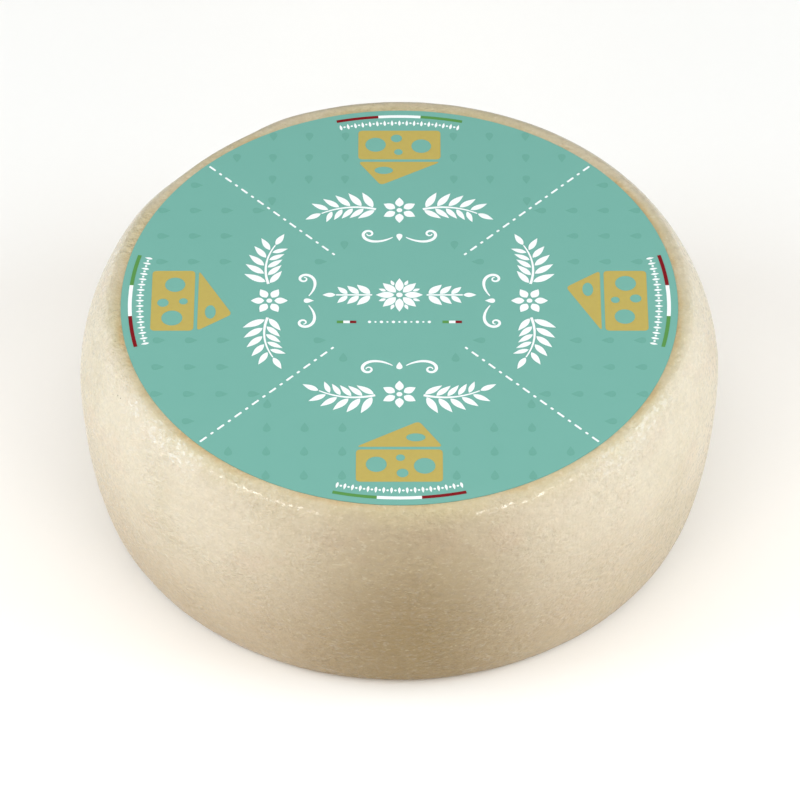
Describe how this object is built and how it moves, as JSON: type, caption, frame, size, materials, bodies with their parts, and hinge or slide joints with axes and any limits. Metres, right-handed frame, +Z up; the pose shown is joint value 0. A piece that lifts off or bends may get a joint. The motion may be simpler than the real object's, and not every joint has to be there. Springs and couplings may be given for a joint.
{
  "type": "caciotta cheese wheel",
  "caption": "Whole wheel of caciotta cheese with a bulging side, flat top and base, ivory rind and a round paper label on top.",
  "frame": {"origin": "middle of the flat base, on the plane the wheel rests on", "axes": "+Z up along the wheel's axis, -Y towards the side seen in front"},
  "size_m": [0.19, 0.1896, 0.0702],
  "materials": {
    "rind": "satin",
    "label_paper": "matte"
  },
  "bodies": {
    "root": {"cheese_wheel": "rind", "top_label": "label_paper"}
  },
  "joints": []
}
